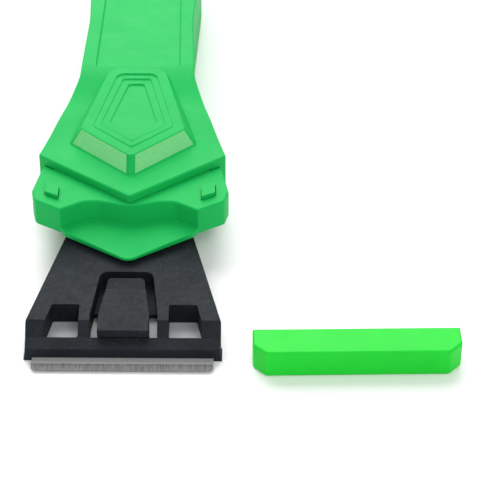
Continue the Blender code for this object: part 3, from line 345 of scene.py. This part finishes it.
def make_nose(green):
    """The nose: a hollow block with a finger notch, and the thin V lip that carries it."""
    block = mirrored(
        [
            (0.0, NOTCH_BUMP_Y, 9.0 * MM),
            (6.6 * MM, NOTCH_BAY_Y, 5.0 * MM),
            (10.0 * MM, NOTCH_BAY_Y, 4.0 * MM),
            (*NOTCH_CORNER, 0.5 * MM),
            (*SHOULDER, 1.6 * MM),
            (NOSE_HIGH.x, NOSE_WIDE_Y, 1.6 * MM),
            (NOSE_BACK_HALF, deck_front(NOSE_BACK_HALF) - NOSE_GAP, SHARP),
            (NOSE_INNER_HALF, deck_front(NOSE_INNER_HALF) - NOSE_GAP, SHARP),
            (NOSE_INNER_HALF, NOSE_HIGH.y, SHARP),
        ]
    )
    profile = bottom_rounding(NOSE_LOW.z, 0.2 * MM, 2) + top_rounding(NOSE_HIGH.z, NOSE_EDGE)
    nose = ring_body("nose", block, profile, 8)
    lip = mirrored(
        [
            (0.0, NOSE_LOW.y, 3.0 * MM),
            (*LIP_SIDE, 1.0 * MM),
            (SHOULDER[0] - 3.0 * MM, SHOULDER[1] + 0.4 * MM, SHARP),
            (NOTCH_CORNER[0] - 2.0 * MM, NOTCH_BAY_Y + 4.0 * MM, SHARP),
        ]
    )
    hollow = mirrored(
        [
            (0.0, NOTCH_BAY_Y + NOSE_WALL, SHARP),
            (NOTCH_CORNER[0] - 5.2 * MM, NOTCH_BAY_Y + NOSE_WALL + SHARP, 1.0 * MM),
            (NOTCH_CORNER[0] + 0.6 * MM, NOTCH_CORNER[1] + 2.4 * MM, 1.0 * MM),
            (SHOULDER[0] - 1.2 * MM, SHOULDER[1] + 1.9 * MM, 1.0 * MM),
            (NOSE_HIGH.x - NOSE_WALL, NOSE_WIDE_Y, 1.0 * MM),
            (NOSE_BACK_HALF - NOSE_WALL, deck_front(NOSE_BACK_HALF) - 2 * NOSE_WALL, SHARP),
            (NOSE_INNER_HALF - NOSE_WALL, deck_front(NOSE_INNER_HALF), SHARP),
            (NOSE_INNER_HALF - NOSE_WALL, NOSE_HIGH.y + MM, SHARP),
        ]
    )
    join(nose, ring_body("lip", lip, lip_profile(), 8))
    cavity = ring_body("hollow", hollow, [(0, NOSE_LOW.z - MM), (0, NOSE_HIGH.z - NOSE_WALL)], 3)
    windows = [
        ring_body("window", hook_outline(side), [(0, NOSE_HIGH.z - 3 * MM), (0, NOSE_HIGH.z + MM)], 2)
        for side in (-1, 1)
    ]
    # the sides end in front of the lower shell
    seat = mirrored(
        [
            (NOSE_HIGH.x + MM, LOWER_FRONT[1] - SEAM_GAP, SHARP),
            (NOSE_HIGH.x + MM, NOSE_HIGH.y + MM, SHARP),
        ]
    )
    cut(nose, cavity, *windows, ring_body("seat", seat, [(0, 0.0), (0, UPPER_LOW.z)], 1))
    nose.data.materials.append(green)
    return finished(nose, "handle", "nose_collar")


def hook_outline(side):
    """Plan of the hole around one snap hook, whose ends are parallel to the slanted deck."""
    half_x, half_y = HOOK_SIZE[0] / 2 + HOOK_GAP, HOOK_SIZE[1] / 2 + HOOK_GAP
    lean = math.tan(HOOK_SKEW) * half_x
    x, y = HOOK_MIDDLE
    corners = [
        (side * (x - half_x), y - half_y - lean, SHARP),
        (side * (x + half_x), y - half_y + lean, SHARP),
        (side * (x + half_x), y + half_y + lean, SHARP),
        (side * (x - half_x), y + half_y - lean, SHARP),
    ]
    return corners if side > 0 else corners[::-1]


# ---- handle -----------------------------------------------------------------------------------
def ease(share):
    """A smooth step from 0 to 1."""
    share = min(max(share, 0.0), 1.0)
    return (1 - math.cos(math.pi * share)) / 2


def deck_height(y):
    """Height of the deck: flat over the head, a gentle rise, then a ramp up to the grip's top."""
    rise = (y - DECK_RISE_START_Y) / (DECK_RAMP_START_Y - DECK_RISE_START_Y)
    ramp = (y - DECK_RAMP_START_Y) / (DECK_RAMP_END_Y - DECK_RAMP_START_Y)
    climb = GRIP_TOP - DECK_TOP - DECK_RISE
    return DECK_TOP + DECK_RISE * ease(rise) + climb * ease(ramp)


def handle_outline(*front):
    """Plan of the handle behind the given front corners."""
    tail_y = UPPER_HIGH.y
    return mirrored(
        [
            *front,
            NECK,
            WAIST,
            SWELL,
            (TAIL_HALF, tail_y - TAIL_CHAMFER, TAIL_RADIUS),
            (TAIL_HALF - TAIL_CHAMFER, tail_y, TAIL_RADIUS),
        ]
    )


def deck_body(green):
    """The upper shell's outside: its top follows deck_height, so it is laid in rows across."""
    segments = 6
    corners = handle_outline(DECK_TIP, DECK_CORNER)
    counts = side_counts(corners, ROW_LENGTH)
    made = bmesh.new()
    loops = []
    levels = [(0.0, None)] + top_rounding(0.0, DECK_EDGE)
    for inset, drop in levels:
        points = ring(shrunk(corners, inset), segments, counts)
        heights = [UPPER_LOW.z if drop is None else deck_height(p.y) + drop for p in points]
        loops.append([made.verts.new((p.x, p.y, z)) for p, z in zip(points, heights)])
    made.faces.new(loops[0])
    for low, high in zip(loops, loops[1:]):
        bridge(made, low, high)
    rim = loops[-1]
    tip = segments // 2
    right = [rim[(tip + k) % len(rim)] for k in range(1, len(rim) // 2 + 1)]
    left = [rim[(tip - k) % len(rim)] for k in range(1, len(rim) // 2 + 1)]
    made.faces.new((rim[tip], right[0], left[0]))
    for k in range(len(right) - 1):
        if right[k + 1] != left[k + 1]:
            made.faces.new((left[k], right[k], right[k + 1], left[k + 1]))
    bmesh.ops.recalc_face_normals(made, faces=made.faces)
    flat = [e for e in made.edges if e.is_manifold and e.calc_face_angle() < COPLANAR]
    bmesh.ops.dissolve_edges(made, edges=flat, use_verts=False)
    return new_object("deck", made, green)


def boss_corners(inset, tip_radius, wide_radius, rear_radius):
    corners = mirrored([(0.0, BOSS_TIP_Y, 0.0), (*BOSS_WIDE, 0.0), (*BOSS_REAR, 0.0)])
    radii = (tip_radius, wide_radius, rear_radius, rear_radius, wide_radius)
    return [(x, y, r) for (x, y, _), r in zip(shrunk(corners, inset), radii)]


# the flank's section from its foot up: outward share of the run, and share of the height
BOSS_FLANK = (
    (1.10, -0.25),
    (1.07, -0.02),
    (1.00, 0.015),
    (0.93, 0.045),
    (0.86, 0.10),
    (0.07, 0.95),
    (0.03, 0.985),
    (-0.03, 1.0),
)
FACET_BAND = 4                          # the frosted faces lie between this level and the next


def boss_plane(y, number=0):
    """Height of the boss's top, or of one of the planes inside it, which tip forward more and more."""
    share = (y - BOSS_TIP_Y) / (BOSS_REAR[1] - BOSS_TIP_Y)
    height = BOSS_TOP - BOSS_DIP * (1 - share)
    for inset, rise, drop, _ in TERRACES[:number]:
        front, rear = BOSS_TIP_Y + inset / BOSS_FRONT_SLANT, BOSS_REAR[1] - inset
        share = (y - front) / (rear - front)
        height += rise - (rise + drop) * share
    return height


def boss_levels(segments):
    """Rings of points, from the boss's foot up its flanks and over its terraces."""
    top = ring(boss_corners(0.0, BOSS_TIP_RADIUS, BOSS_WIDE_RADIUS, BOSS_REAR_RADIUS), segments)
    low_radii = (BOSS_TIP_RADIUS, BOSS_LOW_WIDE_RADIUS, BOSS_REAR_RADIUS + BOSS_RUN)
    low = ring(boss_corners(-BOSS_RUN, *low_radii), segments)
    levels = []
    for out, share in BOSS_FLANK:
        level = []
        for high_point, low_point in zip(top, low):
            fall = (boss_plane(high_point.y) - deck_height(high_point.y)) / (BOSS_TOP - DECK_TOP)
            point = high_point.lerp(low_point, out * fall)
            deck = deck_height(point.y)
            level.append((point.x, point.y, deck + share * (boss_plane(point.y) - deck)))
        levels.append(level)
    for number, (inset, _, _, rear_radius) in enumerate(TERRACES):
        for move, share in TERRACE_STEP:
            radii = (TERRACE_TIP_RADIUS, TERRACE_WIDE_RADIUS, rear_radius)
            points = ring(boss_corners(inset + move * MM, *radii), segments)
            steps = [boss_plane(p.y, number + 1) - boss_plane(p.y, number) for p in points]
            level = [(p.x, p.y, boss_plane(p.y, number) + share * d) for p, d in zip(points, steps)]
            levels.append(level)
    return levels


def boss_body(green, frosted):
    """The five-sided boss with its terraces; its two front flanks are frosted."""
    segments = 8
    made = bmesh.new()
    loops = [[made.verts.new(p) for p in level] for level in boss_levels(segments)]
    made.faces.new(loops[0])
    for number, (low, high) in enumerate(zip(loops, loops[1:])):
        faces = bridge(made, low, high)
        if number == FACET_BAND:
            faces[0].material_index = 1
            faces[segments + 1].material_index = 1
    made.faces.new(loops[-1])
    return new_object("boss", made, green, frosted)


def make_upper_shell(green, frosted):
    """The top half of the handle with its boss, panel recess, hanging hole and hollow inside."""
    shell = deck_body(green)
    shell.data.materials.append(frosted)
    shell.name = "upper_shell"
    join(shell, boss_body(green, frosted))
    panel = mirrored(
        [(PANEL_HALF, PANEL_START_Y, 0.8 * MM), (PANEL_END_HALF, PANEL_END_Y, 1.6 * MM)]
    )
    floor = GRIP_TOP - PANEL_DEPTH
    panel_profile = [
        (0.45 * MM, floor),
        (0.25 * MM, floor + 0.03 * MM),
        (0.12 * MM, floor + 0.12 * MM),
        (-0.15 * MM, GRIP_TOP),
        (-0.75 * MM, GRIP_TOP + MM),
    ]
    head_space = mirrored(
        [
            (NOSE_INNER_HALF + NOSE_GAP, 0.0, SHARP),
            (NOSE_INNER_HALF + NOSE_GAP, NOSE_HIGH.y + NOSE_GAP, SHARP),
            (NECK[0] - WALL, NECK[1], 3.0 * MM),
            (NECK[0] - WALL, NECK[1] + 8.0 * MM, SHARP),
        ]
    )
    tube = HANG_HOLE_RADIUS + HANG_TUBE_WALL + 0.15 * MM
    under = UPPER_LOW.z - MM
    cut(
        shell,
        ring_body("panel", panel, panel_profile, 6),
        ring_body("head_space", head_space, [(0, under), (0, NOSE_HIGH.z + NOSE_GAP)], 2),
        ring_body("grip_space", grip_space(), [(0, under), (0, GRIP_TOP - PANEL_DEPTH - WALL)], 6),
        cylinder("hang_hole", 0, HANG_HOLE_Y, tube, under, GRIP_TOP + MM),
    )
    return finished(shell, "handle", "handle_upper_shell")


def grip_space():
    """Plan of the hollow of the grip."""
    return shrunk(handle_outline(), WALL)


def make_lower_shell(green):
    """The underside of the handle, with sunk screw holes and the tube of the hanging hole."""
    shell = ring_body(
        "lower_shell",
        handle_outline(LOWER_FRONT, LOWER_CORNER),
        bottom_rounding(LOWER_LOW.z, LOWER_EDGE, 6) + top_rounding(seam_height(), 0.12 * MM, 1),
        6,
    )
    mouth = LOWER_FRONT[0] - 0.8 * MM
    head_space = mirrored(
        [
            (mouth, LOWER_FRONT[1] - 10 * MM, SHARP),
            (mouth, LOWER_FRONT[1] + WALL, SHARP),
            (LOWER_CORNER[0] - 1.3 * WALL, LOWER_CORNER[1] + 0.8 * WALL, SHARP),
            (NECK[0] - WALL, NECK[1], 3.0 * MM),
            (NECK[0] - WALL, NECK[1] + 8.0 * MM, SHARP),
        ]
    )
    high = seam_height() + MM
    cut(
        shell,
        ring_body("head_space", head_space, [(0, TRAY_FLOOR), (0, high)], 2),
        ring_body("grip_space", grip_space(), [(0, TRAY_FLOOR), (0, high)], 6),
    )
    pillar = (SCREW_HOLE[0] + PILLAR_WALL, LOWER_LOW.z + MM, seam_height() - 0.2 * MM)
    pillars = [cylinder("pillar", x, y, *pillar) for x, y in SCREW_PLACES]
    tube = HANG_HOLE_RADIUS + HANG_TUBE_WALL
    join(shell, *pillars, cylinder("tube", 0, HANG_HOLE_Y, tube, MM, GRIP_TOP - 0.3 * MM))
    low = LOWER_LOW.z - MM
    for x, y in SCREW_PLACES:
        cut(shell, cylinder("head_hole", x, y, SCREW_HOLE[0], low, SCREW_HOLE[1]))
        cut(shell, cylinder("shank_hole", x, y, SHANK_HOLE_RADIUS, MM, high))
    cut(
        shell,
        cylinder("tang_head", 0, TANG_SCREW_Y, TANG_SCREW_HOLE[0], low, TANG_SCREW_HOLE[1]),
        cylinder("hang_hole", 0, HANG_HOLE_Y, HANG_HOLE_RADIUS, low, GRIP_TOP + MM, 64),
    )
    cut(shell, cylinder("tang_shank", 0, TANG_SCREW_Y, TANG_SHANK_HOLE_RADIUS, low, high))
    shell.data.materials.append(green)
    return finished(shell, "handle", "handle_lower_shell")


def seam_height():
    """Top of the lower shell, just under the upper one."""
    return UPPER_LOW.z - SEAM_GAP


# ---- guard ------------------------------------------------------------------------------------
def make_guard(plastic):
    """The push-on blade guard: a trough with chamfered corners, open at its back."""
    outline = mirrored(
        [
            (GUARD_HALF - GUARD_CHAMFER, 0.0, 1.0 * MM),
            (GUARD_HALF, GUARD_CHAMFER, 1.0 * MM),
            (GUARD_HALF, GUARD_DEPTH, 0.25 * MM),
        ]
    )
    profile = bottom_rounding(0.0, GUARD_EDGE, 5) + top_rounding(GUARD_HEIGHT, GUARD_EDGE, 5)
    guard = ring_body("guard", outline, profile, 8)
    inner = GUARD_HALF - GUARD_WALL
    pocket = mirrored(
        [
            (inner - GUARD_CHAMFER + GUARD_WALL / 2, GUARD_WALL, 0.4 * MM),
            (inner, GUARD_CHAMFER + GUARD_WALL / 2, 0.4 * MM),
            (inner, GUARD_DEPTH + 5 * MM, SHARP),
        ]
    )
    cut(guard, ring_body("pocket", pocket, [(0, GUARD_WALL), (0, GUARD_HEIGHT - GUARD_WALL)], 4))
    guard.data.materials.append(plastic)
    middle = (GUARD_LOW + GUARD_HIGH) / 2
    turn = Matrix.Rotation(GUARD_TURN, 4, "Z")
    offset = turn @ Vector((0, GUARD_DEPTH / 2, 0))
    guard.data.transform(Matrix.Translation((middle.x - offset.x, middle.y - offset.y, 0)) @ turn)
    return finished(guard, "guard", "blade_guard")


# ---- CAD pieces that stay ---------------------------------------------------------------------
def softened(name, material, width):
    """A CAD node that stays, with its edges rounded by modifiers and a new material."""
    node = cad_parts[name]
    node.data.materials.clear()
    node.data.materials.append(material)
    weld = node.modifiers.new("weld", "WELD")
    weld.merge_threshold = 0.005 * MM
    flat = node.modifiers.new("flat_faces", "DECIMATE")
    flat.decimate_type = "DISSOLVE"
    flat.angle_limit = math.radians(1.0)
    rounding = node.modifiers.new("edges", "BEVEL")
    rounding.width = width
    rounding.segments = 2
    rounding.limit_method = "ANGLE"
    rounding.angle_limit = math.radians(25)
    rounding.harden_normals = True
    return node


# ---- materials --------------------------------------------------------------------------------
class Nodes:
    """A material's node tree with the few steps that the materials below repeat."""

    def __init__(self, name):
        self.material = bpy.data.materials.new(name)
        self.material.use_nodes = True
        self.tree = self.material.node_tree
        self.shader = self.tree.nodes["Principled BSDF"]
        self.place = self.tree.nodes.new("ShaderNodeTexCoord").outputs["Object"]

    def link(self, output, node, socket):
        self.tree.links.new(output, node.inputs[socket])

    def noise(self, size, detail=2.0, stretch=(1, 1, 1)):
        """Noise with features of about the given size, longer along the stretched axes."""
        mapping = self.tree.nodes.new("ShaderNodeMapping")
        mapping.inputs["Scale"].default_value = [1 / (size * s) for s in stretch]
        self.link(self.place, mapping, "Vector")
        noise = self.tree.nodes.new("ShaderNodeTexNoise")
        noise.inputs["Scale"].default_value = 1.0
        noise.inputs["Detail"].default_value = detail
        self.link(mapping.outputs["Vector"], noise, "Vector")
        return noise.outputs["Fac"]

    def spread(self, value, low, high, to_low=0.0, to_high=1.0):
        """Maps a value's range from low and high to other limits."""
        step = self.tree.nodes.new("ShaderNodeMapRange")
        sockets = ("From Min", "From Max", "To Min", "To Max")
        for socket, number in zip(sockets, (low, high, to_low, to_high)):
            step.inputs[socket].default_value = number
        self.link(value, step, "Value")
        return step.outputs["Result"]

    def mix(self, factor, first, second):
        """A blend of two colours, each a tuple or another node's output."""
        mix = self.tree.nodes.new("ShaderNodeMix")
        mix.data_type = "RGBA"
        self.link(factor, mix, "Factor")
        for slot, colour in ((6, first), (7, second)):
            if isinstance(colour, tuple):
                mix.inputs[slot].default_value = (*colour, 1.0)
            else:
                self.tree.links.new(colour, mix.inputs[slot])
        return mix.outputs[2]

    def axis(self, name):
        """One of the piece's own coordinates, in metres."""
        split = self.tree.nodes.new("ShaderNodeSeparateXYZ")
        self.link(self.place, split, "Vector")
        return split.outputs[name]

    def bump(self, height, distance):
        bump = self.tree.nodes.new("ShaderNodeBump")
        bump.inputs["Distance"].default_value = distance
        bump.inputs["Strength"].default_value = 1.0
        self.link(height, bump, "Height")
        self.link(bump.outputs["Normal"], self.shader, "Normal")

    def colour(self, output):
        self.link(output, self.shader, "Base Color")

    def roughness(self, output):
        self.link(output, self.shader, "Roughness")


def scaled(colour, factor):
    return tuple(c * factor for c in colour)


def moulded_plastic(name, colour, roughness, grain_size, specular):
    """Moulded plastic: cloudy colour, a fine grain, and a sheen that varies a little."""
    nodes = Nodes(name)
    cloud = nodes.spread(nodes.noise(14 * MM, 3.0), 0.3, 0.7)
    nodes.colour(nodes.mix(cloud, scaled(colour, 0.95), scaled(colour, 1.04)))
    sheen = nodes.noise(3 * MM, 3.0)
    nodes.roughness(nodes.spread(sheen, 0.3, 0.7, roughness - 0.05, roughness + 0.05))
    nodes.shader.inputs["Specular IOR Level"].default_value = specular
    nodes.bump(nodes.noise(grain_size, 2.0), GRAIN_DEPTH)
    return nodes.material


def green_plastic():
    return moulded_plastic("green_plastic", (0.007, 0.42, 0.086), 0.5, 0.35 * MM, 0.1)


def guard_plastic():
    return moulded_plastic("guard_plastic", (0.010, 0.60, 0.032), 0.4, 0.8 * MM, 0.15)


def frosted_plastic():
    """The eroded finish of the boss's front flanks: lighter, greyer and coarse to the touch."""
    nodes = Nodes("frosted_plastic")
    speckle = nodes.spread(nodes.noise(0.28 * MM, 3.0), 0.42, 0.62)
    nodes.colour(nodes.mix(speckle, (0.135, 0.58, 0.19), (0.19, 0.64, 0.235)))
    nodes.shader.inputs["Roughness"].default_value = 0.75
    nodes.bump(nodes.noise(0.22 * MM, 2.0), 0.05 * MM)
    return nodes.material


def black_plastic():
    """The holder's matt spark-eroded black, with pale specks of dust and fine scuffs."""
    nodes = Nodes("black_plastic")
    cloud = nodes.spread(nodes.noise(6 * MM, 4.0), 0.35, 0.7)
    base = nodes.mix(cloud, (0.010, 0.013, 0.016), (0.016, 0.020, 0.024))
    speck = nodes.spread(nodes.noise(0.30 * MM, 2.0), 0.60, 0.75)
    nodes.colour(nodes.mix(speck, base, (0.040, 0.046, 0.051)))
    nodes.roughness(nodes.spread(nodes.noise(1.2 * MM, 3.0), 0.3, 0.7, 0.46, 0.60))
    nodes.shader.inputs["Specular IOR Level"].default_value = 0.08
    nodes.bump(nodes.noise(0.22 * MM, 2.0), 0.02 * MM)
    return nodes.material


def blade_steel():
    """Polished strip, then the ground bevel with its marks running towards the edge; under the holder
    the same steel is painted lighter, a painted reflection.
    """
    nodes = Nodes("blade_steel")
    along = nodes.axis("Y")
    edge = TO_EDGE.y
    marks = nodes.noise(0.22 * MM, 2.0, (1, 40, 1))
    ground = nodes.mix(nodes.spread(marks, 0.35, 0.65), (0.085, 0.085, 0.082), (0.19, 0.19, 0.185))
    brushed = nodes.noise(0.12 * MM, 3.0, (60, 1, 1))
    strip = nodes.mix(nodes.spread(brushed, 0.3, 0.7), (0.35, 0.36, 0.36), (0.42, 0.43, 0.43))
    # The steel under the holder is painted lighter than the exposed strip, a painted reflection of the
    # bright surroundings seen through the windows; the next line fades it in behind the strip.
    painted_reflection = nodes.mix(nodes.spread(brushed, 0.3, 0.7), (0.41, 0.42, 0.43), (0.49, 0.50, 0.51))
    body = nodes.mix(nodes.spread(along, edge + EXPOSED_BLADE, edge + 2 * EXPOSED_BLADE), strip, painted_reflection)
    start = edge + BLADE_GRIND
    nodes.colour(nodes.mix(nodes.spread(along, start - GRIND_BLUR, start + GRIND_BLUR), ground, body))
    nodes.roughness(nodes.spread(marks, 0.3, 0.7, 0.34, 0.48))
    nodes.shader.inputs["Metallic"].default_value = 0.1
    nodes.shader.inputs["Specular IOR Level"].default_value = 0.2
    nodes.bump(marks, 0.004 * MM)
    return nodes.material


def fastener_steel():
    nodes = Nodes("fastener_steel")
    turned = nodes.noise(0.5 * MM, 3.0)
    nodes.colour(nodes.mix(turned, (0.42, 0.42, 0.41), (0.62, 0.61, 0.59)))
    nodes.roughness(nodes.spread(turned, 0.3, 0.7, 0.25, 0.40))
    nodes.shader.inputs["Metallic"].default_value = 1.0
    return nodes.material


def paper_white():
    nodes = Nodes("paper_white")
    nodes.colour(nodes.mix(nodes.noise(80 * MM), (0.93, 0.93, 0.93), (0.95, 0.95, 0.95)))
    nodes.shader.inputs["Roughness"].default_value = 0.9
    nodes.shader.inputs["Specular IOR Level"].default_value = 0.1
    return nodes.material


# ---- stage ------------------------------------------------------------------------------------
FLOOR_HALF = 3.0
WORLD_STRENGTH = 0.55
CAMERA_PLACE = Vector((0.023407, -0.347452, 0.263541))
CAMERA_TARGET = Vector((0.024536, -0.015100, 0.0))
CAMERA_ROLL = math.radians(0.487)
CAMERA_LENS = 139.907                   # millimetres, on a sensor SENSOR_WIDTH millimetres wide
SENSOR_WIDTH = 36.0


def make_floor(material):
    made = bmesh.new()
    bmesh.ops.create_grid(made, x_segments=1, y_segments=1, size=FLOOR_HALF)
    floor = new_object("floor", made, material)


def make_light(name, place, size, power):
    """A soft square light that points at the middle of the tool."""
    data = bpy.data.lights.new(name, "AREA")
    data.size = size
    data.energy = power
    light = bpy.data.objects.new(name, data)
    light.location = place
    light.rotation_euler = (-Vector(place)).to_track_quat("-Z", "Y").to_euler()
    bpy.context.scene.collection.objects.link(light)


def make_world(strength):
    world = bpy.data.worlds.new("studio")
    world.use_nodes = True
    background = world.node_tree.nodes["Background"]
    background.inputs["Color"].default_value = (1.0, 1.0, 1.0, 1.0)
    background.inputs["Strength"].default_value = strength
    bpy.context.scene.world = world


def make_camera():
    data = bpy.data.cameras.new("camera")
    data.lens = CAMERA_LENS
    data.sensor_width = SENSOR_WIDTH
    camera = bpy.data.objects.new("camera", data)
    aim = (CAMERA_TARGET - CAMERA_PLACE).to_track_quat("-Z", "Y").to_matrix().to_4x4()
    roll = Matrix.Rotation(CAMERA_ROLL, 4, "Z")
    camera.matrix_world = Matrix.Translation(CAMERA_PLACE) @ aim @ roll
    bpy.context.scene.collection.objects.link(camera)
    bpy.context.scene.camera = camera


# ---- the scene --------------------------------------------------------------------------------
make_camera()
make_floor(paper_white())
make_world(WORLD_STRENGTH)
make_light("back_light", (-0.12, 0.62, 0.62), 0.9, 11.0)
make_light("front_fill", (0.25, -0.6, 0.6), 0.6, 3.0)
bpy.context.scene.view_settings.view_transform = "Standard"

GREEN = green_plastic()
BLACK = black_plastic()
FASTENER = fastener_steel()

make_nose(GREEN)
make_upper_shell(GREEN, frosted_plastic())
make_lower_shell(GREEN)
make_guard(guard_plastic())
softened("nose_cover", GREEN, 0.25 * MM)
softened("holder_frame", BLACK, 0.2 * MM)
softened("holder_base", BLACK, 0.15 * MM)
softened("release_lever", BLACK, 0.2 * MM)
softened("blade", blade_steel(), 0.01 * MM)
for node_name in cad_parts:
    if "screw" in node_name or "rivet" in node_name or "nut" in node_name:
        softened(node_name, FASTENER, 0.08 * MM)
